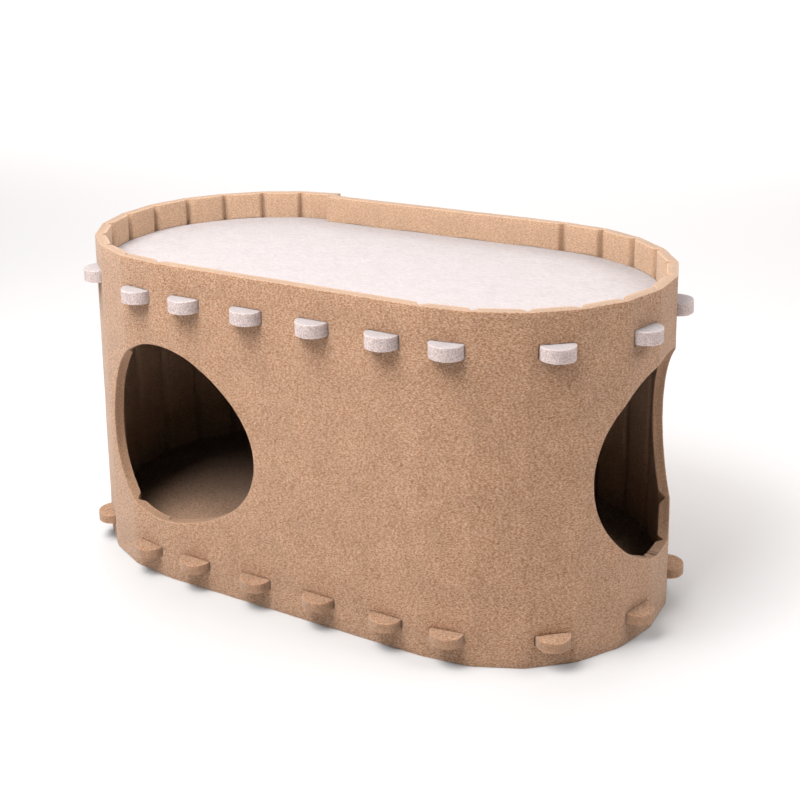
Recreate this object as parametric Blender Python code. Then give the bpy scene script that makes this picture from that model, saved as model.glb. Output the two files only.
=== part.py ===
"""A cat house of thick felt: a grooved wall strip bent into a stadium, and two felt panels tabbed into it.

The wall is made as the real one is. It is cut flat, with its doorways, slots and V-grooves, in the strip's
own coordinates: u along its outer face, d into the felt from that face, and z up. It is then bent at its
grooves. The panels take their outline from the bent wall, so they fit it wherever it goes.
"""

import bisect
import math

import bmesh
import bpy
from mathutils import Vector

MM = 0.001

# The wall strip
HEIGHT = 320 * MM  # from the ground to the rim
WALL_FELT = 10 * MM
LONG_SIDE = 270 * MM  # front and back, between their end grooves
FACET = 45 * MM  # from groove to groove round an end
FACETS = 11  # round each end
FIRST_BEND = math.radians(8.1)  # where a long side meets an end
FLARE = 0.034  # how much larger the foot is than the rim

# The V-grooves on the wall's inner face
GROOVE_MOUTH = 11.5 * MM  # before the bend closes it
GROOVE_DEPTH = 5.5 * MM
GROOVE_FLAT = 2 * MM  # across the bottom of the V

# The lapped seam at the back left. The outer end of the strip is eased out over the inner one.
LAP = 8 * MM
SEAM_EASE = (0, math.radians(1.5), math.radians(2.5))  # taken off the bends nearest to its outer end

# The doorways: rounded openings of three soft lobes, widened by a share of their radius.
# r = radius * (1 + lobe * cos(3 * (angle - turn)) + widening * cos(2 * angle))
# name, middle along the strip, middle's height, radius, lobe, turn, widening
DOORWAYS = (
    ("front_doorway", 7.2 * MM, 149 * MM, 90.2 * MM, 0.049, math.radians(-9.9), 0.015),
    ("end_doorway", 520.6 * MM, 161.9 * MM, 97.4 * MM, 0.019, math.radians(46), 0.023),
)
DOORWAY_POINTS = 48

TAN = (0.56, 0.35, 0.22)
WHITE = (0.86, 0.80, 0.81)

# The panels: name, underside's height, thickness of its felt, colour
PANELS = (
    ("shelf", 280.2 * MM, 12.2 * MM, WHITE),
    ("floor_panel", 21.1 * MM, 9.8 * MM, TAN),
)
TAB_WIDTH = 30 * MM
TAB_REACH = 14.5 * MM  # past the wall's outer face
TAB_POINTS = 10  # round its end
TABS_ON_A_SIDE = 4
TAB_PITCH = 68 * MM  # on a long side
TABBED_FACETS = range(0, FACETS, 2)  # of each end. The lapped facet, the strip's first, has none.
END_SHIFT = 1.8 * MM  # how far the ends' tabs sit off their facets' middles, away from the front
SLOT_SPARE = 1 * MM  # a slot's spare length: past its tab, and on the right end before it
GAP = 0.3 * MM  # between pieces
ON_THE_LINE = 0.01 * MM  # points this near a groove's line are on it


class Strip:
    """The bent wall in plan: where its grooves are, and its outer face's corners and headings."""

    def __init__(self):
        quarter = FACETS // 2
        bend = (math.pi / 2 - FIRST_BEND) / quarter
        end = [FIRST_BEND] + [bend] * (2 * quarter) + [FIRST_BEND]
        left_end = end[-2::-1]
        for index, ease in enumerate(SEAM_EASE):
            left_end[index] -= ease
        # The strip runs from its outer end round the left end, the front, the right end and the back.
        self.turns = left_end + end
        lengths = [FACET] * FACETS + [LONG_SIDE] + [FACET] * FACETS + [LONG_SIDE]
        heading = -sum(self.turns[:FACETS])  # so that the front runs along X
        self.headings = [heading]
        for turn in self.turns:
            heading += turn
            self.headings.append(heading)
        self.starts = [-FACET * FACETS]
        corner = Vector((0, 0))
        self.corners = [corner]
        for length, heading in zip(lengths, self.headings):
            self.starts.append(self.starts[-1] + length)
            corner = corner + length * along(heading)
            self.corners.append(corner)
        self.centre_on_front()
        self.lap_inner_end()

    def centre_on_front(self):
        """Puts the front's middle on the Y axis, and the front and the back equally far from the X axis."""
        left, right = self.corners[FACETS], self.corners[FACETS + 1]
        back = self.corners[2 * FACETS + 1]
        shift = Vector(((left.x + right.x) / 2, (left.y + back.y) / 2))
        self.corners = [corner - shift for corner in self.corners]

    def lap_inner_end(self):
        """Turns the back so that its end lies just inside the strip's outer end, lapped by LAP."""
        away = self.headings[0]
        outer_end = self.corners[0]
        cut_end = outer_end + LAP * along(away) + (WALL_FELT + GAP) * inward(away)
        back = self.corners[-2]
        run = cut_end - back
        heading = math.atan2(run.y, run.x) % (2 * math.pi)
        self.turns[-1] += heading - self.headings[-1]
        self.headings[-1] = heading
        self.corners[-1] = cut_end
        self.starts[-1] = self.starts[-2] + run.length

    def facet_at(self, u):
        return min(max(bisect.bisect_right(self.starts, u) - 1, 0), len(self.headings) - 1)

    def place(self, u, d):
        """The plan position of the strip's point u along and d in. At a groove it is on the bend's mitre."""
        facet = self.facet_at(u)
        heading = self.headings[facet]
        offset = u - self.starts[facet]
        if 0 < facet and offset < ON_THE_LINE:
            return self.mitre(facet, d)
        if facet + 1 < len(self.headings) and self.starts[facet + 1] - u < ON_THE_LINE:
            return self.mitre(facet + 1, d)
        return self.corners[facet] + offset * along(heading) + d * inward(heading)

    def mitre(self, facet, d):
        half = self.turns[facet - 1] / 2
        return self.corners[facet] + d / math.cos(half) * inward(self.headings[facet] - half)


def along(heading):
    return Vector((math.cos(heading), math.sin(heading)))


def inward(heading):
    return Vector((-math.sin(heading), math.cos(heading)))


def clear_scene():
    for obj in list(bpy.data.objects):
        bpy.data.objects.remove(obj)


def felt_material(piece, colour):
    """Pressed felt: matt, with no gloss of its own."""
    material = bpy.data.materials.new(f"{piece}_felt")
    material.use_nodes = True
    shader = material.node_tree.nodes["Principled BSDF"]
    shader.inputs["Base Color"].default_value = (*colour, 1)
    shader.inputs["Roughness"].default_value = 0.95
    shader.inputs["Metallic"].default_value = 0
    return material


def upright(point, level):
    """A corner of a plan or section, raised to a height."""
    return (*point, level)


def through_felt(point, level):
    """A corner of an outline drawn on the flat strip's face, taken to a depth in the felt."""
    return (point[0], level, point[1])


def prism(outline, low, high, lift):
    """A closed mesh between two levels of a plane outline. lift(point, level) gives each corner."""
    mesh = bmesh.new()
    rings = [[mesh.verts.new(lift(point, level)) for point in outline] for level in (low, high)]
    mesh.faces.new(rings[0])
    mesh.faces.new(rings[1])
    for index in range(len(outline)):
        after = (index + 1) % len(outline)
        mesh.faces.new((rings[0][index], rings[0][after], rings[1][after], rings[1][index]))
    bmesh.ops.recalc_face_normals(mesh, faces=mesh.faces)
    return mesh


def object_from(mesh, name, material=None):
    data = bpy.data.meshes.new(name)
    mesh.to_mesh(data)
    mesh.free()
    obj = bpy.data.objects.new(name, data)
    bpy.context.scene.collection.objects.link(obj)
    if material:
        data.materials.append(material)
    return obj


def shade(obj):
    """Rounds the shading of tabs and doorways, and keeps the felt's edges crisp."""
    obj.data.shade_smooth()
    obj.data.set_sharp_from_angle(angle=math.radians(35))


def cut(obj, cutter):
    modifier = obj.modifiers.new(cutter.name, "BOOLEAN")
    modifier.operation = "DIFFERENCE"
    modifier.solver = "EXACT"
    modifier.object = cutter
    cutter.hide_render = True
    cutter.display_type = "WIRE"


def strip_section(strip):
    """The flat strip's section (u, d), with a V-groove at each bend."""
    section = [(strip.starts[0], 0), (strip.starts[-1], 0), (strip.starts[-1], WALL_FELT)]
    for u in reversed(strip.starts[1:-1]):
        section += [
            (u + GROOVE_MOUTH / 2, WALL_FELT),
            (u + GROOVE_FLAT / 2, WALL_FELT - GROOVE_DEPTH),
            (u - GROOVE_FLAT / 2, WALL_FELT - GROOVE_DEPTH),
            (u - GROOVE_MOUTH / 2, WALL_FELT),
        ]
    return section + [(strip.starts[0], WALL_FELT)]


def doorway_outline(middle, height, radius, lobe, turn, widening):
    points = []
    for step in range(DOORWAY_POINTS):
        angle = 2 * math.pi * step / DOORWAY_POINTS
        reach = radius * (1 + lobe * math.cos(3 * (angle - turn)) + widening * math.cos(2 * angle))
        points.append((middle + reach * math.cos(angle), height + reach * math.sin(angle)))
    return points


def on_right_end(strip, u):
    return strip.starts[FACETS + 1] < u < strip.starts[2 * FACETS + 1]


def tab_middles(strip):
    """Each tab's middle along the strip: spread over the long sides, and on the ends' TABBED_FACETS."""
    front, right_end, back = (strip.starts[first] for first in (FACETS, FACETS + 1, 2 * FACETS + 1))
    middles = [strip.starts[facet] + FACET / 2 - END_SHIFT for facet in TABBED_FACETS if facet]
    middles += [right_end + (facet + 0.5) * FACET + END_SHIFT for facet in TABBED_FACETS]
    for side in (front, back):
        first = side + LONG_SIDE / 2 - (TABS_ON_A_SIDE - 1) / 2 * TAB_PITCH
        middles += [first + index * TAB_PITCH for index in range(TABS_ON_A_SIDE)]
    return sorted(middles)


def slot_outline(middle, underside, felt, spare_before, spare_after):
    left, right = middle - TAB_WIDTH / 2 - spare_before, middle + TAB_WIDTH / 2 + spare_after
    low, high = underside - GAP, underside + felt + GAP
    return [(left, low), (right, low), (right, high), (left, high)]


def make_wall(strip):
    """The strip: cut flat, then bent."""
    flat = object_from(prism(strip_section(strip), 0, HEIGHT, upright), "flat_wall")
    openings = [(name, doorway_outline(*sizes)) for name, *sizes in DOORWAYS]
    for panel, underside, felt, _colour in PANELS:
        for index, middle in enumerate(tab_middles(strip)):
            spares = (SLOT_SPARE, GAP) if on_right_end(strip, middle) else (GAP, SLOT_SPARE)
            openings.append((f"{panel}_slot_{index}", slot_outline(middle, underside, felt, *spares)))
    for name, outline in openings:
        cut(flat, object_from(prism(outline, -WALL_FELT, 2 * WALL_FELT, through_felt), name))
    mesh = bmesh.new()
    mesh.from_object(flat, bpy.context.evaluated_depsgraph_get())
    for obj in [flat] + [modifier.object for modifier in flat.modifiers]:
        bpy.data.objects.remove(obj)
    for groove in strip.starts[1:-1]:
        everything = mesh.verts[:] + mesh.edges[:] + mesh.faces[:]
        bmesh.ops.bisect_plane(
            mesh, geom=everything, plane_co=(groove, 0, 0), plane_no=(1, 0, 0), dist=ON_THE_LINE
        )
    for vertex in mesh.verts:
        u, d, z = vertex.co
        vertex.co = (*strip.place(u, d), z)
    wall = object_from(mesh, "wall", felt_material("wall", TAN))
    shade(wall)
    return wall


def tab_outline(strip, middle):
    """One tab in plan, from the panel's edge, through the wall and out: a neck with a half-round end."""
    radius = TAB_WIDTH / 2
    root = WALL_FELT + GAP
    points = [(middle - radius, root)]
    for step in range(TAB_POINTS + 1):
        angle = math.pi * step / TAB_POINTS
        points.append((middle - radius * math.cos(angle), -TAB_REACH * math.sin(angle)))
    return [strip.place(u, d) for u, d in points + [(middle + radius, root)]]


def panel_outline(strip):
    """The wall's inner outline, less the gap, with the tabs."""
    inside = WALL_FELT + GAP
    middles = tab_middles(strip)
    outline = []
    for facet, (start, finish) in enumerate(zip(strip.starts, strip.starts[1:])):
        if facet:
            outline.append(strip.mitre(facet, inside))
        for middle in middles:
            if start < middle < finish:
                outline += tab_outline(strip, middle)
    # At the seam the outline steps out round the inner end's cut face to the outer end's inner face.
    last = len(strip.headings) - 1
    cut_end = strip.corners[-1] + GAP * along(strip.headings[last])
    step_in = cut_end + inside * inward(strip.headings[last])
    first = strip.headings[0]
    offset = (cut_end - strip.corners[0]).dot(along(first))
    step_out = strip.corners[0] + offset * along(first) + inside * inward(first)
    return outline + [step_in, step_out]


def make_panel(strip, name, underside, felt, colour):
    mesh = prism(panel_outline(strip), underside, underside + felt, upright)
    panel = object_from(mesh, name, felt_material(name, colour))
    shade(panel)
    return panel


def flare(obj):
    """Spreads the object towards its foot."""
    for vertex in obj.data.vertices:
        spread = 1 + FLARE * (1 - vertex.co.z / HEIGHT)
        vertex.co.x *= spread
        vertex.co.y *= spread


def main():
    clear_scene()
    strip = Strip()
    for piece in [make_wall(strip)] + [make_panel(strip, *panel) for panel in PANELS]:
        flare(piece)


main()
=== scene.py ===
"""A cat house of thick needled felt: a grooved wall bent into a stadium, a white tray and a floor.

Each piece is felt cut in the flat. Its outline is triangulated, its cut edges are worn a little round, and
its points are then put in place, where the wall bends at its grooves. Heights come from the frame.
"""

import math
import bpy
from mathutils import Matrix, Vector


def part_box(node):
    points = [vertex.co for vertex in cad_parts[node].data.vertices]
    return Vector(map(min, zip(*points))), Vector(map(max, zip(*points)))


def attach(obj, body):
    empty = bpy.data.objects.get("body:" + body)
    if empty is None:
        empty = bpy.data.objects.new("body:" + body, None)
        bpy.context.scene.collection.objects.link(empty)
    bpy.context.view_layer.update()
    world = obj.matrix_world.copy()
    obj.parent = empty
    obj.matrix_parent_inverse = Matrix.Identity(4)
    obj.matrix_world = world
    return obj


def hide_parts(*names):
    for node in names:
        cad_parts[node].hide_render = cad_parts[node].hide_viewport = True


bl_info = {
    "name": "Felt cat house",
    "version": (1, 0, 0),
    "blender": (4, 5, 0),
    "location": "3D View > Sidebar > Cat House",
    "description": "Cuts, grooves and bends a felt cat house with a tray top, and lights it in a studio",
    "category": "Add Mesh",
}

from itertools import pairwise
from typing import NamedTuple

import bpy
import numpy as np
from bpy.props import FloatProperty, FloatVectorProperty, IntProperty, PointerProperty
from bpy.types import Operator, Panel, PropertyGroup
from mathutils import Matrix, Vector, noise
from mathutils.geometry import delaunay_2d_cdt

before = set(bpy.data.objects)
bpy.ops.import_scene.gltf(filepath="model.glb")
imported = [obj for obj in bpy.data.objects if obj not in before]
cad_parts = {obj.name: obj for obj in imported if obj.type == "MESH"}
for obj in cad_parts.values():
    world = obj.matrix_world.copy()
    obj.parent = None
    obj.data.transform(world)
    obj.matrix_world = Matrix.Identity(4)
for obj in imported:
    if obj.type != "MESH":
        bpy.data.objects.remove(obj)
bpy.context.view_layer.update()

MM = 0.001
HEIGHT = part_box("wall")[1].z

# The strip's outer end is eased out over its inner one, by this much off each of the bends nearest to it.
SEAM_EASE = (0, math.radians(1.5), math.radians(2.5))

# How soft a V-groove's lips and bottom are, as a share of its depth
GROOVE_SOFTNESS = 0.14

# Rounded doorways: r = radius * (1 + lobe * cos(3 * (angle - turn)) + widening * cos(2 * angle)).
# Middle along the strip, middle's height, radius, lobe, turn, widening
DOORWAYS = (
    (7.2 * MM, 149 * MM, 90.2 * MM, 0.049, math.radians(-9.9), 0.015),
    (520.6 * MM, 161.9 * MM, 97.4 * MM, 0.019, math.radians(46), 0.023),
)

# How finely round outlines are cut: points round a doorway, steps round a tab's end and round a slot's corner
DOORWAY_POINTS = 200
TAB_STEPS = 24
SLOT_CORNER_STEPS = 4

SLOT_CORNER = 1.5 * MM

# The columns of points on each side of a groove, as distances from it
GROOVE_COLUMNS = [distance * MM for distance in (0, 0.9, 1.7, 2.6, 3.5, 4.5, 5.4, 6.3, 7.4)]

# The widest spacing of the wall's columns and rows of points, and the spacing of a panel's points
COLUMN_STEP = 6 * MM
ROW_STEP = 8 * MM
PANEL_STEP = 9 * MM

# The rings of points round a cut edge, from a face to the middle of the cut:
# angle round the worn corner, how far below it, how much of it is cut, how pale it is: loose fibres and
# painted highlight
EDGE_RINGS = (
    (math.radians(30), 0.0, 0.3, 0.6),
    (math.radians(60), 0.0, 0.8, 0.6),
    (math.radians(90), 0.0, 1.0, 0.4),
    (math.radians(90), 0.8 * MM, 1.0, 0.1),
)

# The waves in which the felt is uneven: how long they are, and their share of the unevenness
WAVES = ((60 * MM, 1.0), (14 * MM, 0.5), (5 * MM, 0.25))
WAVE_SEED = 1  # sets where they lie


def linear(code):
    """An sRGB hex value as the linear colour that shaders take."""
    values = [int(code[index : index + 2], 16) / 255 for index in (0, 2, 4)]
    return tuple(v / 12.92 if v <= 0.04045 else ((v + 0.055) / 1.055) ** 2.4 for v in values)


def length(name, description, default):
    return FloatProperty(name=name, description=description, default=default, unit="LENGTH", precision=4)


def colour(name, description, code):
    return FloatVectorProperty(name=name, description=description, default=linear(code), subtype="COLOR")


def power(name, description, default):
    return FloatProperty(name=name, description=description, default=default, unit="POWER")


def add_object(name, data):
    """Puts an object with this data in the scene."""
    added = bpy.data.objects.new(name, data)
    bpy.context.scene.collection.objects.link(added)
    return added


class HouseSizes(PropertyGroup):
    """The felt strip, its grooves and its bends."""

    wall_felt: length("Wall felt", "Thickness of the wall's felt", 10 * MM)
    long_side: length("Long side", "Front and back, between their end grooves", 270 * MM)
    facet: length("Facet", "From groove to groove round an end", 45 * MM)
    facets: IntProperty(name="Facets", description="How many facets go round each end", default=11)
    first_bend: FloatProperty(
        name="First bend",
        description="The bend where a long side meets an end",
        default=math.radians(8.1),
        unit="ROTATION",
    )
    flare: FloatProperty(
        name="Flare",
        description="How much larger the foot is than the rim",
        default=0.034,
        subtype="FACTOR",
    )
    bend_length: length("Bend", "The stretch of felt that each bend takes up", 7 * MM)
    groove_mouth: length("Groove mouth", "A V-groove's width before it is bent", 11.5 * MM)
    groove_depth: length("Groove depth", "A V-groove's depth", 5.5 * MM)
    groove_flat: length("Groove bottom", "The width of a V-groove's bottom", 2 * MM)
    lap: length("Lap", "How far the strip's ends overlap at the back left", 8 * MM)
    edge: length("Cut edge", "The radius that the cut edges are worn to", 0.8 * MM)
    slot_edge: length("Slot edge", "The radius of the slots' edges", 0.4 * MM)
    unevenness: length("Unevenness", "How far the felt's faces wander", 0.22 * MM)


class TabSizes(PropertyGroup):
    """The tabs that hold the two panels in the wall, and their slots."""

    width: length("Width", "A tab's width", 30 * MM)
    reach: length("Reach", "How far a tab stands out of the wall", 14.5 * MM)
    pitch: length("Pitch", "From tab to tab on a long side", 68 * MM)
    on_a_side: IntProperty(name="On a side", description="How many tabs a long side has", default=4)
    end_shift: length("End shift", "How far back the ends' tabs sit from their facets' middles", 1.8 * MM)
    spare: length("Spare", "A slot's spare length: past its tab, and on the right end before it", 1 * MM)
    gap: length("Gap", "The gap between one piece and the next", 0.3 * MM)
    round: length("Edge", "The radius of the tabs' and panels' edges", 0.7 * MM)


class FeltColours(PropertyGroup):
    """The dye colours of the felts' fibres, pale ones on top and deeper ones in their shade, and the rim's
    painted highlight.
    """

    tan: colour("Tan fibres", "The palest fibres of the wall's outer face and the floor panel", "EAC2A4")
    tan_shade: colour("Tan shade", "The deeper fibres between them", "A9744D")
    inner: colour("Inner fibres", "The palest fibres of the wall's inner face", "F1CBAE")
    inner_shade: colour("Inner shade", "The deeper fibres between them", "C19975")
    tan_cut: colour("Tan cut", "The cut edges of the tan felt, where the fibres stand on end", "C2987A")
    # The rim's colour is a painted highlight: the top edge is painted paler, as bright light from above makes
    # it.
    tan_rim_painted_highlight: colour("Rim", "The cut edge round the top, whose fibres are brushed open", "C19F85")
    white: colour("White fibres", "The palest fibres of the white felt", "D0C7C7")
    white_shade: colour("White shade", "The deeper fibres between them", "C1B7B6")
    white_cut: colour("White cut", "The cut edges of the white felt", "DECBC7")


class StudioLook(PropertyGroup):
    """The floor and the lights."""

    floor: colour("Floor", "The studio floor", "F8F5F4")
    fill: FloatProperty(name="Fill", description="The even light from all round", default=0.07)
    key: power("Key", "The softbox above the front", 18)
    top: power("Top", "The softbox above the tray", 7)
    side: power("Side", "The softbox above the right end", 9.8)
    backdrop: power("Backdrop", "The bank over the floor behind", 471)
    left: power("Left", "The bank over the floor at the left", 6.6)


def along(heading):
    """The unit vectors that point along headings."""
    return np.stack((np.cos(heading), np.sin(heading)), -1)


def inward(heading):
    """The unit vectors to the left of headings, which is into the house."""
    return np.stack((-np.sin(heading), np.cos(heading)), -1)


class Strip:
    """The bent wall in plan. u runs along the outer face from its lapped end, and depth runs inwards."""

    def __init__(self, sizes, gap):
        self.sizes = sizes
        quarter = sizes.facets // 2
        bend = (math.pi / 2 - sizes.first_bend) / quarter
        end = [sizes.first_bend] + [bend] * (2 * quarter) + [sizes.first_bend]
        left_end = end[-2::-1]
        for index, ease in enumerate(SEAM_EASE):
            left_end[index] -= ease
        self.turns = left_end + end
        facets = [sizes.facet] * sizes.facets
        lengths = facets + [sizes.long_side] + facets + [sizes.long_side]
        headings = np.cumsum([-sum(self.turns[: sizes.facets])] + self.turns)
        starts = np.cumsum([-sizes.facet * sizes.facets] + lengths)
        runs = [run * along(heading) for run, heading in zip(lengths, headings)]
        corners = np.cumsum([np.zeros(2)] + runs, axis=0)
        self.headings, self.starts = headings, starts
        self.front, self.right_end = sizes.facets, sizes.facets + 1
        self.back = 2 * sizes.facets + 1
        middle_x = (corners[self.front][0] + corners[self.right_end][0]) / 2
        middle_y = (corners[self.front][1] + corners[self.back][1]) / 2
        self.corners = corners - (middle_x, middle_y)
        self.lap_inner_end(gap)

    def lap_inner_end(self, gap):
        """Turns the back so that its end lies just inside the strip's outer end."""
        away = self.headings[0]
        cut_end = self.corners[0] + self.sizes.lap * along(away) + (self.sizes.wall_felt + gap) * inward(away)
        run = cut_end - self.corners[-2]
        heading = math.atan2(run[1], run[0]) % (2 * math.pi)
        self.turns[-1] += heading - self.headings[-1]
        self.headings[-1] = heading
        self.corners[-1] = cut_end
        self.starts[-1] = self.starts[-2] + math.hypot(*run)

    def grooves(self):
        """Where the V-grooves lie along the strip."""
        return self.starts[1:-1]

    def place(self, u, depth):
        """Plan points. The felt bends in a short arc at each groove."""
        u, depth = np.broadcast_arrays(np.asarray(u, float), np.asarray(depth, float))
        facet = np.clip(np.searchsorted(self.starts, u, "right") - 1, 0, len(self.headings) - 1)
        heading = self.headings[facet]
        on_facet = (u - self.starts[facet])[..., None] * along(heading) + depth[..., None] * inward(heading)
        plan = self.corners[facet] + on_facet
        half = self.sizes.bend_length / 2
        for groove in range(1, len(self.headings)):
            bent = np.abs(u - self.starts[groove]) < half
            turn = self.turns[groove - 1]
            before = self.headings[groove - 1]
            radius = half / math.tan(turn / 2)
            centre = self.corners[groove] - half * along(before) + radius * inward(before)
            share = (u[bent] - self.starts[groove]) / (2 * half) + 0.5
            plan[bent] = centre - (radius - depth[bent])[..., None] * inward(before + turn * share)
        return plan

    def mitre(self, groove, depth):
        """Where the two facets' planes at a depth meet."""
        half = self.turns[groove - 1] / 2
        return self.corners[groove] + depth / math.cos(half) * inward(self.headings[groove] - half)


def tab_middles(strip, tabs):
    """Each tab's middle along the strip. The lapped facet, the strip's first, has none."""
    facet = strip.sizes.facet
    every_second = range(0, strip.sizes.facets, 2)
    middles = [strip.starts[index] + facet / 2 - tabs.end_shift for index in every_second if index]
    right_end = strip.starts[strip.right_end] + tabs.end_shift
    middles += [right_end + (index + 0.5) * facet for index in every_second]
    for side in (strip.front, strip.back):
        first = strip.starts[side] + strip.sizes.long_side / 2 - (tabs.on_a_side - 1) / 2 * tabs.pitch
        middles += [first + index * tabs.pitch for index in range(tabs.on_a_side)]
    return sorted(middles)


def soft_floor(value, softness):
    """The value where it is above 0, easing into 0 below it."""
    return (value + np.sqrt(value * value + softness * softness)) / 2


def groove_cut(strip, u):
    """How deep the V-grooves are cut at u. They are soft, because needled felt springs back."""
    sizes = strip.sizes
    distance = np.abs(np.asarray(u)[..., None] - strip.grooves()).min(-1)
    flank = (sizes.groove_mouth / 2 - distance) / ((sizes.groove_mouth - sizes.groove_flat) / 2)
    return sizes.groove_depth * (1 - soft_floor(1 - soft_floor(flank, GROOVE_SOFTNESS), GROOVE_SOFTNESS))


def doorway_reach(doorway, angle):
    """How far a doorway's outline is from its middle."""
    _, _, radius, lobe, turn, widening = doorway
    return radius * (1 + lobe * np.cos(3 * (angle - turn)) + widening * np.cos(2 * angle))


def doorway_loop(doorway):
    """The doorway's outline, clockwise, so that the felt is on its left."""
    angle = -2 * math.pi * np.arange(DOORWAY_POINTS) / DOORWAY_POINTS
    return np.array(doorway[:2]) + doorway_reach(doorway, angle)[:, None] * along(angle)


def slots(strip, tabs):
    """The box of each slot on the flat strip: (left, low, right, high)."""
    found = []
    right_end = (strip.starts[strip.right_end], strip.starts[strip.back])
    for node in ("shelf", "floor_panel"):
        low, high = (corner.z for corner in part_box(node))
        for middle in tab_middles(strip, tabs):
            before, after = tabs.gap, tabs.spare
            if right_end[0] < middle < right_end[1]:
                before, after = tabs.spare, tabs.gap
            left, right = middle - tabs.width / 2 - before, middle + tabs.width / 2 + after
            found.append((left, low - tabs.gap, right, high + tabs.gap))
    return np.array(found)


def slot_loop(box):
    """A slot's outline with rounded corners, clockwise, so that the felt is on its left."""
    left, low, right, high = box
    left, right = left + SLOT_CORNER, right - SLOT_CORNER
    low, high = low + SLOT_CORNER, high - SLOT_CORNER
    points = []
    for index, (x, y) in enumerate(((right, low), (right, high), (left, high), (left, low))):
        for step in range(SLOT_CORNER_STEPS + 1):
            angle = math.pi / 2 * (index - 1 + step / SLOT_CORNER_STEPS)
            points.append((x + SLOT_CORNER * math.cos(angle), y + SLOT_CORNER * math.sin(angle)))
    return np.array(points[::-1])


def offset(loop, by):
    """The closed loop moved to its left."""
    run = np.roll(loop, -1, axis=0) - loop
    normal = np.stack((-run[:, 1], run[:, 0]), -1) / np.linalg.norm(run, axis=1)[:, None]
    before = np.roll(normal, 1, axis=0)
    return loop + by * (before + normal) / (1 + (before * normal).sum(-1))[:, None]


def inside(loop, points):
    """Which points a closed loop goes round."""
    after = np.roll(loop, -1, axis=0)
    found = np.zeros(len(points), bool)
    near = ((points >= loop.min(0)) & (points <= loop.max(0))).all(1)
    x, y = points[near].T
    crossed = np.zeros(near.sum(), int)
    for (x0, y0), (x1, y1) in zip(loop, after):
        if y0 != y1:
            crossed += ((y0 > y) != (y1 > y)) & (x < x0 + (y - y0) / (y1 - y0) * (x1 - x0))
    found[near] = crossed % 2 == 1
    return found


def triangulate(outline, holes, lines, points):
    """Flat points and the triangles between them, counter-clockwise, where there is felt."""
    corners, edges = [], []
    for run, closed in [(loop, True) for loop in (outline, *holes)] + [(line, False) for line in lines]:
        first = len(corners)
        corners += [Vector(point) for point in run]
        edges += [(index, index + 1) for index in range(first, len(corners) - 1)]
        if closed:
            edges.append((len(corners) - 1, first))
    corners += [Vector(point) for point in points]
    inside_outline, same_point = 1, 1e-7
    flat, _, faces, *_ = delaunay_2d_cdt(corners, edges, [], inside_outline, same_point)
    flat, faces = np.array(flat), np.array(faces)
    middles = flat[faces].mean(1)
    for hole in holes:
        cut_out = inside(hole, middles)
        faces, middles = faces[~cut_out], middles[~cut_out]
    used, faces = np.unique(faces, return_inverse=True)
    return flat[used], faces.reshape(-1, 3)


def boundary(flat, faces):
    """The directed edges round the felt, which is on their left, and the way outwards at each point."""
    edges = np.concatenate([faces[:, [0, 1]], faces[:, [1, 2]], faces[:, [2, 0]]])
    count = len(flat)
    key = edges[:, 0] * count + edges[:, 1]
    reverse = edges[:, 1] * count + edges[:, 0]
    rim = edges[~np.isin(key, reverse)]
    run = flat[rim[:, 1]] - flat[rim[:, 0]]
    normal = np.stack((run[:, 1], -run[:, 0]), -1) / np.linalg.norm(run, axis=1)[:, None]
    leaving, arriving = np.zeros((count, 2)), np.zeros((count, 2))
    leaving[rim[:, 0]] = normal
    arriving[rim[:, 1]] = normal
    sharpest = 0.3  # keeps a very sharp corner from reaching far out
    outward = (leaving + arriving) / np.maximum(1 + (leaving * arriving).sum(-1), sharpest)[:, None]
    return rim, outward


def edge_rings(flat, outward, radius, thickness):
    """The rings round the cut edges, from face to face: each one's points in plan, depth, cut, and edge
    paleness (loose fibres, painted highlight).
    """
    rings = []
    for angle, below, cut, fuzz in EDGE_RINGS:
        plan = flat + outward * (radius * math.sin(angle))[:, None]
        rings.append((plan, radius * (1 - math.cos(angle)) + below, cut, fuzz))
    widest = rings[-1][0]
    middle = (widest, thickness(widest) / 2, 1.0, 0.0)
    second_face = [(plan, thickness(plan) - depth, cut, fuzz) for plan, depth, cut, fuzz in rings[::-1]]
    return [*rings, middle, *second_face]


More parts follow.
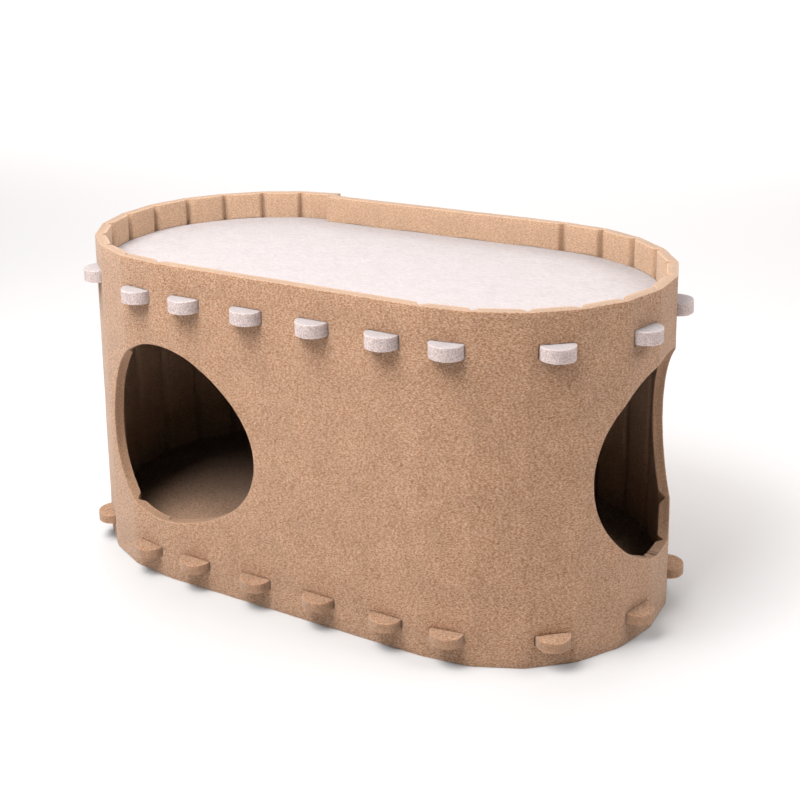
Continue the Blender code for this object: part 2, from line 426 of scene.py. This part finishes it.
def felt_mesh(name, flat, faces, thickness, edge, lift, uneven):
    """A closed sheet of felt with rounded cut edges.

    thickness(flat) and edge(flat) give the felt's thickness and its edge radius at flat points, and
    lift(flat, depth) places points that lie a depth below the first face.
    """
    rim, outward = boundary(flat, faces)
    on_rim = np.unique(rim)
    rings = edge_rings(flat[on_rim], outward[on_rim], edge(flat[on_rim]), thickness)
    on_face = np.zeros(len(flat))
    layers = [(flat, on_face, 0, 0), *rings, (flat, thickness(flat), 0, 0)]
    plan, depth = (np.concatenate([layer[part] for layer in layers]) for part in (0, 1))
    cut, fuzz = (np.concatenate([np.full(len(layer[0]), layer[part]) for layer in layers]) for part in (2, 3))

    second_face = len(flat) + len(rings) * len(on_rim)
    ring_points = np.arange(len(flat), second_face).reshape(len(rings), -1)
    loops = [on_rim, *ring_points, on_rim + second_face]
    triangles = [faces, faces[:, ::-1] + second_face]
    sides = [np.zeros(len(faces), int), np.ones(len(faces), int)]
    start, finish = np.searchsorted(on_rim, rim[:, 0]), np.searchsorted(on_rim, rim[:, 1])
    for index, (upper, lower) in enumerate(pairwise(loops)):
        quads = np.stack((upper[finish], upper[start], lower[start], lower[finish]), -1)
        triangles += [quads[:, [0, 1, 2]], quads[:, [0, 2, 3]]]
        sides.append(np.full(2 * len(quads), int(index >= len(loops) // 2)))
    points = roughen(lift(plan, depth), uneven)

    mesh = bpy.data.meshes.new(name)
    mesh.from_pydata(points.tolist(), [], np.concatenate(triangles).tolist())
    mesh.polygons.foreach_set("material_index", np.concatenate(sides).astype(np.int32))
    mesh.shade_smooth()
    # The edges' paleness: partly loose fibres, partly a painted highlight.
    for label, values in (("cut", cut), ("fuzz", fuzz)):
        mesh.attributes.new(label, "FLOAT", "POINT").data.foreach_set("value", values.astype(np.float32))
    lie = np.column_stack((plan, depth)).astype(np.float32)
    mesh.attributes.new("lie", "FLOAT_VECTOR", "POINT").data.foreach_set("vector", lie.ravel())
    mesh.update()
    return add_object(name, mesh)


def roughen(points, by):
    """Moves the points a little, so that nothing is dead flat or straight. The foot stays on the ground."""
    noise.seed_set(WAVE_SEED)
    moved = points.copy()
    for wave, share in WAVES:
        moved += by * share * np.array([noise.noise_vector(Vector(point) / wave) for point in points])
    at_foot = points[:, 2] < 1 * MM
    moved[at_foot, 2] = np.maximum(points[at_foot, 2], 0)
    return moved


def spread(height, sizes):
    """How much larger the plan is at a height than at the rim."""
    return 1 + sizes.flare * (1 - height / HEIGHT)


def flared(plan, height, sizes):
    """The points at these places in plan and heights, in the house as it flares."""
    return np.column_stack((plan * spread(height, sizes)[:, None], height))


def ride(piece, node, materials):
    """Gives a felt piece its materials and its place in the frame, and hides the frame's part that it stands
    for.
    """
    for material in materials:
        piece.data.materials.append(material)
    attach(piece, "root")
    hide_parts(node)


def wall_columns(strip):
    """Where the wall's columns of points stand: close together at the grooves, and evenly between them."""
    stops = [strip.starts[0] + strip.sizes.edge, strip.starts[-1] - strip.sizes.edge]
    for groove in strip.grooves():
        stops += [groove - distance for distance in GROOVE_COLUMNS[1:]]
        stops += [groove + distance for distance in GROOVE_COLUMNS]
    columns = []
    for start, finish in pairwise(sorted(stops)):
        steps = max(1, round((finish - start) / COLUMN_STEP))
        columns += [start + (finish - start) * step / steps for step in range(steps)]
    return columns[1:]


class CATHOUSE_OT_wall(Operator):
    """Cuts the wall's strip with its doorways and slots, grooves it, and bends it round"""

    bl_idname = "cathouse.wall"
    bl_label = "Wall"
    bl_options = {"REGISTER", "UNDO"}

    def execute(self, context):
        sizes, tabs = context.scene.cat_house, context.scene.cat_tabs
        strip = Strip(sizes, tabs.gap)
        slot_boxes = slots(strip, tabs)
        left, low, right, high = strip.starts[0], 0, strip.starts[-1], HEIGHT
        outline = np.array([(left, low), (right, low), (right, high), (left, high)])
        holes = [offset(doorway_loop(doorway), sizes.edge) for doorway in DOORWAYS]
        holes += [offset(slot_loop(box), sizes.slot_edge) for box in slot_boxes]
        rows = np.linspace(low + sizes.edge, high - sizes.edge, round(HEIGHT / ROW_STEP))
        lines = [np.column_stack((np.full(len(rows), u), rows)) for u in wall_columns(strip)]

        def edge(points):
            near = 1 * MM
            by_slot = np.zeros(len(points), bool)
            for box in slot_boxes:
                by_slot |= ((points > box[:2] - near) & (points < box[2:] + near)).all(1)
            return np.where(by_slot, sizes.slot_edge, sizes.edge)

        flat, faces = triangulate(offset(outline, sizes.edge), holes, lines, [])
        piece = felt_mesh(
            "felt_wall",
            flat,
            faces,
            lambda points: sizes.wall_felt - groove_cut(strip, points[:, 0]),
            edge,
            lambda points, depth: flared(strip.place(points[:, 0], depth), points[:, 1], sizes),
            sizes.unevenness,
        )
        colours = context.scene.cat_felt
        # The rim's colour is a painted highlight on the wall's top edge.
        cut, rim = colours.tan_cut, colours.tan_rim_painted_highlight
        materials = [
            needled_felt("tan_PET_felt_outer", colours.tan, colours.tan_shade, cut, HEATHER, rim),
            needled_felt("tan_PET_felt_inner", colours.inner, colours.inner_shade, cut, HEATHER_INSIDE, rim),
        ]
        ride(piece, "wall", materials)
        return {"FINISHED"}


def tab_outline(strip, tabs, middle):
    """A tab in plan, from the panel's edge, through the wall and out: a neck with a rounded end."""
    half = tabs.width / 2
    root = strip.sizes.wall_felt + tabs.gap
    angle = math.pi * np.arange(TAB_STEPS + 1) / TAB_STEPS
    u = np.concatenate(([middle - half], middle - half * np.cos(angle), [middle + half]))
    depth = np.concatenate(([root], -tabs.reach * np.sin(angle), [root]))
    facet = np.searchsorted(strip.starts, middle, "right") - 1
    heading = strip.headings[facet]
    on_outer_face = strip.corners[facet] + (u - strip.starts[facet])[:, None] * along(heading)
    return on_outer_face + depth[:, None] * inward(heading)


def panel_outline(strip, tabs):
    """The wall's inner outline less the gap, with the tabs, stepping out round the seam."""
    inset = strip.sizes.wall_felt + tabs.gap
    middles = tab_middles(strip, tabs)
    outline = []
    for facet, (start, finish) in enumerate(pairwise(strip.starts)):
        if facet:
            outline.append([strip.mitre(facet, inset)])
        outline += [tab_outline(strip, tabs, middle) for middle in middles if start < middle < finish]
    first, last = strip.headings[0], strip.headings[-1]
    cut_end = strip.corners[-1] + tabs.gap * along(last)
    past_corner = (cut_end - strip.corners[0]) @ along(first)
    outline.append([cut_end + inset * inward(last)])
    outline.append([strip.corners[0] + past_corner * along(first) + inset * inward(first)])
    return np.concatenate(outline)


def make_panel(context, name, node, materials):
    """A flat panel of felt with its tabs."""
    sizes, tabs = context.scene.cat_house, context.scene.cat_tabs
    strip = Strip(sizes, tabs.gap)
    low, high = (corner.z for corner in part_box(node))
    cut_outline = panel_outline(strip, tabs)
    outline = offset(cut_outline, tabs.round)
    corner = outline.min(0)
    across = np.ceil((outline.max(0) - corner) / PANEL_STEP).astype(int)
    grid = corner + PANEL_STEP * np.indices(across).reshape(2, -1).T
    flat, faces = triangulate(outline, [], [], grid[inside(outline, grid)])
    piece = felt_mesh(
        name,
        flat,
        faces,
        lambda points: np.full(len(points), high - low),
        lambda points: np.full(len(points), tabs.round),
        lambda points, depth: flared(points, high - depth, sizes),
        sizes.unevenness,
    )
    ride(piece, node, materials)


class CATHOUSE_OT_panels(Operator):
    """Cuts the white tray panel and the tan floor panel, whose tabs stand out through the wall"""

    bl_idname = "cathouse.panels"
    bl_label = "Tray and floor panels"
    bl_options = {"REGISTER", "UNDO"}

    def execute(self, context):
        colours = context.scene.cat_felt
        white = needled_felt("white_PET_felt", colours.white, colours.white_shade, colours.white_cut, WHITE)
        tan = needled_felt("tan_PET_felt_floor", colours.tan, colours.tan_shade, colours.tan_cut, HEATHER)
        make_panel(context, "white_tray", "shelf", [white, white])
        make_panel(context, "tan_floor", "floor_panel", [tan, tan])
        return {"FINISHED"}


class FibreLook(NamedTuple):
    """How a felt's fibres show.

    Real ones are about 0.03 mm across, too fine to show, so they are drawn as wisps, as coarse as is needed.
    """

    length: float  # a wisp's length (mm)
    width: float  # a wisp's width (mm)
    sharp: float  # how sharply the pale wisps stand out from the deeper ones
    cloud: float  # how far the dye wanders over the sheet
    relief: float  # how high the wisps stand (mm)
    fuzz: float  # how much paler an edge is, from its loose ends and a painted highlight
    sheen: float  # how much light the loose ends catch at a glancing angle


# The wall's outer face and the floor panel are heathered, the wall's inner face is plainer, and the tray has
# long fine streaks.
HEATHER = FibreLook(length=2.6, width=0.45, sharp=6.3, cloud=0.05, relief=0.7, fuzz=0.45, sheen=0.5)
HEATHER_INSIDE = FibreLook(length=2.6, width=0.5, sharp=3.7, cloud=0.04, relief=0.2, fuzz=0.45, sheen=0.4)
WHITE = FibreLook(length=14, width=1.2, sharp=4, cloud=0.02, relief=0.1, fuzz=0.35, sheen=0.2)

# The angles that the webs of fibres are laid at before they are needled together
WEB_ANGLES = [math.radians(angle) for angle in (15, 42, 148, 172)]

# The wisps curl: how many swirls there are in a wisp's length, and how far they move it, as a share of that
SWIRLS = 1.5
CURL = 1 / 3

# The middle value of the strongest web's noise, and the range that nearly all of a single noise lies in
MIDDLE_WISP = 0.636
NOISE_LOW, NOISE_HIGH = 0.3, 0.7

# How large (mm) the clouds in the dye, the lumps in the sheet and the fibres' ends on a cut are, and how far
# those ends differ in shade
CLOUD_SIZE = 28
LUMP_SIZE = 6
END_SIZE = 1.1
END_CONTRAST = 0.3

# The wall's cut edge is its rim from this height (mm) up, and there it takes a painted highlight colour.
RIM_FROM = (HEIGHT - 0.5 * MM) / MM


def wire(tree, node, inputs):
    """Gives a node's sockets, by their names or places, their values and the links to them."""
    for socket, value in inputs.items():
        if isinstance(value, bpy.types.NodeSocket):
            tree.links.new(value, node.inputs[socket])
        else:
            node.inputs[socket].default_value = value


def add(tree, kind, inputs, **settings):
    """Adds a shader node with its settings, values and links."""
    node = tree.nodes.new(f"ShaderNode{kind}")
    for name, value in settings.items():
        setattr(node, name, value)
    wire(tree, node, inputs)
    return node


def needled_felt(name, fibre, shade, cut, look, rim=None):
    """Needled PET felt: barbed needles tangle webs of loose fibres into a thick matt sheet.

    It looks heathered, because pale wisps lie over deeper ones. On a cut the fibres stand on end, which gives
    it a colour of its own, and round the wall's rim that colour is a painted highlight, paler as if lit from
    above.
    Loose fibres and a painted highlight make every edge paler, and loose ends catch the light at glancing
    angles.
    """
    material = bpy.data.materials.new(name)
    material.use_nodes = True
    tree = material.node_tree
    lie = add(tree, "Attribute", {}, attribute_name="lie").outputs["Vector"]
    place = add(tree, "VectorMath", {0: lie, "Scale": 1 / MM}, operation="SCALE").outputs[0]

    # The wisps: the strongest of several webs of streaks, which all curl
    swirls = {"Vector": place, "Scale": SWIRLS / look.length, "Detail": 0}
    swirl = add(tree, "TexNoise", swirls).outputs["Color"]
    curl = (look.length * CURL,) * 3
    curled = add(tree, "VectorMath", {0: swirl, 1: curl, 2: place}, operation="MULTIPLY_ADD").outputs[0]
    stretch = (look.length, look.width, look.width)
    wisps = None
    for angle in WEB_ANGLES:
        turned = {"Vector": curled, "Rotation": (0, 0, angle), "Scale": stretch}
        laid = add(tree, "Mapping", turned, vector_type="TEXTURE").outputs[0]
        layer = add(tree, "TexNoise", {"Vector": laid, "Scale": 1, "Detail": 0}).outputs["Fac"]
        wisps = add(tree, "Math", {0: wisps, 1: layer}, operation="MAXIMUM").outputs[0] if wisps else layer
    half = 0.5 / look.sharp
    pale = {"Value": wisps, "From Min": MIDDLE_WISP - half, "From Max": MIDDLE_WISP + half}
    share = add(tree, "MapRange", pale).outputs[0]

    # The dyes and the rim's painted highlight; a Mix node has its share at 0, colours at 6 and 7, values at 2
    # and 3.
    face = add(tree, "Mix", {0: share, 6: (*shade, 1), 7: (*fibre, 1)}, data_type="RGBA").outputs[2]
    is_cut = add(tree, "Attribute", {}, attribute_name="cut").outputs["Fac"]
    edge = (*cut, 1)
    # On the wall, the cut edge at the rim takes a painted highlight colour in place of the cut colour.
    if rim is not None:
        up = add(tree, "SeparateXYZ", {0: place}).outputs["Y"]
        rim_highlight_mask = add(tree, "Math", {0: up, 1: RIM_FROM}, operation="GREATER_THAN").outputs[0]
        edge = add(tree, "Mix", {0: rim_highlight_mask, 6: edge, 7: (*rim, 1)}, data_type="RGBA").outputs[2]
    dye_and_rim_highlight = add(tree, "Mix", {0: is_cut, 6: face, 7: edge}, data_type="RGBA").outputs[2]

    # How strong they look: clouded on the faces, speckled on a cut by the fibres' ends, and paler at the
    # edges
    factors = []
    for size, by in ((CLOUD_SIZE, look.cloud), (END_SIZE, END_CONTRAST)):
        grain = add(tree, "TexNoise", {"Vector": place, "Scale": 1 / size, "Detail": 1}).outputs["Fac"]
        limits = {"From Min": NOISE_LOW, "From Max": NOISE_HIGH, "To Min": 1 - by, "To Max": 1 + by}
        factors.append(add(tree, "MapRange", {"Value": grain, **limits}).outputs[0])
    clouds, ends = factors
    specks = add(tree, "Mix", {0: is_cut, 2: 1, 3: ends}).outputs[0]
    # The edges are paler partly from loose fibres and partly from a painted highlight.
    fuzz = add(tree, "Attribute", {}, attribute_name="fuzz").outputs["Fac"]
    paled = add(tree, "Math", {0: fuzz, 1: look.fuzz, 2: clouds}, operation="MULTIPLY_ADD").outputs[0]
    strength = add(tree, "Math", {0: paled, 1: specks}, operation="MULTIPLY").outputs[0]
    coloured = add(tree, "VectorMath", {0: dye_and_rim_highlight, "Scale": strength}, operation="SCALE").outputs[0]

    lumps = add(tree, "TexNoise", {"Vector": place, "Scale": 1 / LUMP_SIZE, "Detail": 2}).outputs["Fac"]
    height = add(tree, "Math", {0: lumps, 1: wisps}, operation="ADD").outputs[0]
    bump = add(tree, "Bump", {"Height": height, "Distance": look.relief * MM, "Strength": 1})
    surface = {
        "Base Color": coloured,
        "Normal": bump.outputs[0],
        "Roughness": 0.95,
        "Specular IOR Level": 0.2,
        "Sheen Weight": look.sheen,
        "Sheen Roughness": 0.4,
        "Sheen Tint": (*linear("FFF6EC"), 1),
    }
    wire(tree, tree.nodes["Principled BSDF"], surface)
    return material


# The camera, at the front right and a little above: its focal length (mm), place and the angles it looks from
LENS = 55.45
CAMERA_PLACE = (0.5827, -0.9803, 0.6174)
CAMERA_AZIMUTH = math.radians(29.43)
CAMERA_ELEVATION = math.radians(19.21)
CAMERA_ROLL = math.radians(-0.4)
CAMERA_SHIFT = -0.075  # puts the house above the middle of the frame


def add_camera(scene):
    """The camera, which looks a little down and is rolled a little."""
    camera = add_object("camera", bpy.data.cameras.new("camera"))
    level = math.cos(CAMERA_ELEVATION)
    back = Vector(
        (math.sin(CAMERA_AZIMUTH) * level, -math.cos(CAMERA_AZIMUTH) * level, math.sin(CAMERA_ELEVATION))
    )
    upright = back.to_track_quat("Z", "Y").to_matrix()
    turned = upright @ Matrix.Rotation(CAMERA_ROLL, 3, "Z")
    camera.matrix_world = Matrix.Translation(CAMERA_PLACE) @ turned.to_4x4()
    camera.data.lens = LENS
    camera.data.shift_y = CAMERA_SHIFT
    scene.camera = camera


FLOOR_REACH = 30  # metres from the house to each edge of the paper

# The softboxes and banks: name, side, place, what it points at
SOFTBOXES = (
    ("key", 0.8, (-0.25, -0.8, 1.35), (0, 0, 0.15)),
    ("top", 0.8, (-0.3, -0.3, 1.6), (0, 0, 0.15)),
    ("side", 0.9, (1.2, 0.4, 1.2), (0, 0, 0.15)),
    ("backdrop", 8.0, (-3.2, 5.6, 2.6), (-3.2, 5.6, 0)),
    ("left", 3.5, (-2.6, 0.6, 2.4), (-2.6, 0.6, 0)),
)


def add_lights(look):
    """Soft square lights, which the camera doesn't see."""
    for name, side, place, aim in SOFTBOXES:
        light = bpy.data.lights.new(f"{name}_softbox", "AREA")
        light.size = side
        light.energy = getattr(look, name)
        lamp = add_object(light.name, light)
        lamp.location = place
        lamp.rotation_mode = "QUATERNION"
        lamp.rotation_quaternion = (Vector(place) - Vector(aim)).to_track_quat("Z", "Y")
        lamp.visible_camera = False


def add_fill(scene, strength):
    """An even white light from all round."""
    world = bpy.data.worlds.new("studio")
    world.use_nodes = True
    even = {"Color": (1, 1, 1, 1), "Strength": strength}
    wire(world.node_tree, world.node_tree.nodes["Background"], even)
    scene.world = world


def add_floor(tint):
    """A sheet of matt studio paper, which is plain and has almost no gloss."""
    mesh = bpy.data.meshes.new("studio_floor")
    corners = [(x * FLOOR_REACH, y * FLOOR_REACH, 0) for x, y in ((-1, -1), (1, -1), (1, 1), (-1, 1))]
    mesh.from_pydata(corners, [], [(0, 1, 2, 3)])
    material = bpy.data.materials.new("matt_studio_paper")
    material.use_nodes = True
    tree = material.node_tree
    surface = {"Base Color": (*tint, 1), "Roughness": 0.9, "Specular IOR Level": 0.1}
    wire(tree, tree.nodes["Principled BSDF"], surface)
    mesh.materials.append(material)
    floor = add_object("studio_floor", mesh)


class CATHOUSE_OT_stage(Operator):
    """Adds the camera, the studio floor and the soft lights"""

    bl_idname = "cathouse.stage"
    bl_label = "Studio"
    bl_options = {"REGISTER", "UNDO"}

    def execute(self, context):
        scene, look = context.scene, context.scene.cat_studio
        scene.view_settings.view_transform = "Standard"
        scene.cycles.diffuse_bounces = 1  # felt soaks up light, so little of it is left in the den
        add_camera(scene)
        add_fill(scene, look.fill)
        add_floor(look.floor)
        add_lights(look)
        return {"FINISHED"}


class CATHOUSE_PT_house(Panel):
    """Lists the operators, and the sizes, colours and lights that they use"""

    bl_label = "Felt cat house"
    bl_idname = "CATHOUSE_PT_house"
    bl_space_type = "VIEW_3D"
    bl_region_type = "UI"
    bl_category = "Cat House"

    def draw(self, context):
        for operator in OPERATORS:
            self.layout.operator(operator.bl_idname)
        for group in SETTINGS:
            box = self.layout.box()
            for name in getattr(context.scene, group).bl_rna.properties.keys():
                if name not in ("rna_type", "name"):
                    box.prop(getattr(context.scene, group), name)


SETTINGS = {"cat_house": HouseSizes, "cat_tabs": TabSizes, "cat_felt": FeltColours, "cat_studio": StudioLook}
OPERATORS = (CATHOUSE_OT_stage, CATHOUSE_OT_wall, CATHOUSE_OT_panels)
CLASSES = (*SETTINGS.values(), *OPERATORS, CATHOUSE_PT_house)


def register():
    for cls in CLASSES:
        bpy.utils.register_class(cls)
    for name, group in SETTINGS.items():
        setattr(bpy.types.Scene, name, PointerProperty(type=group))


def unregister():
    for name in SETTINGS:
        delattr(bpy.types.Scene, name)
    for cls in reversed(CLASSES):
        bpy.utils.unregister_class(cls)


def main():
    register()
    bpy.ops.cathouse.stage()
    bpy.ops.cathouse.wall()
    bpy.ops.cathouse.panels()


if __name__ == "__main__":
    main()
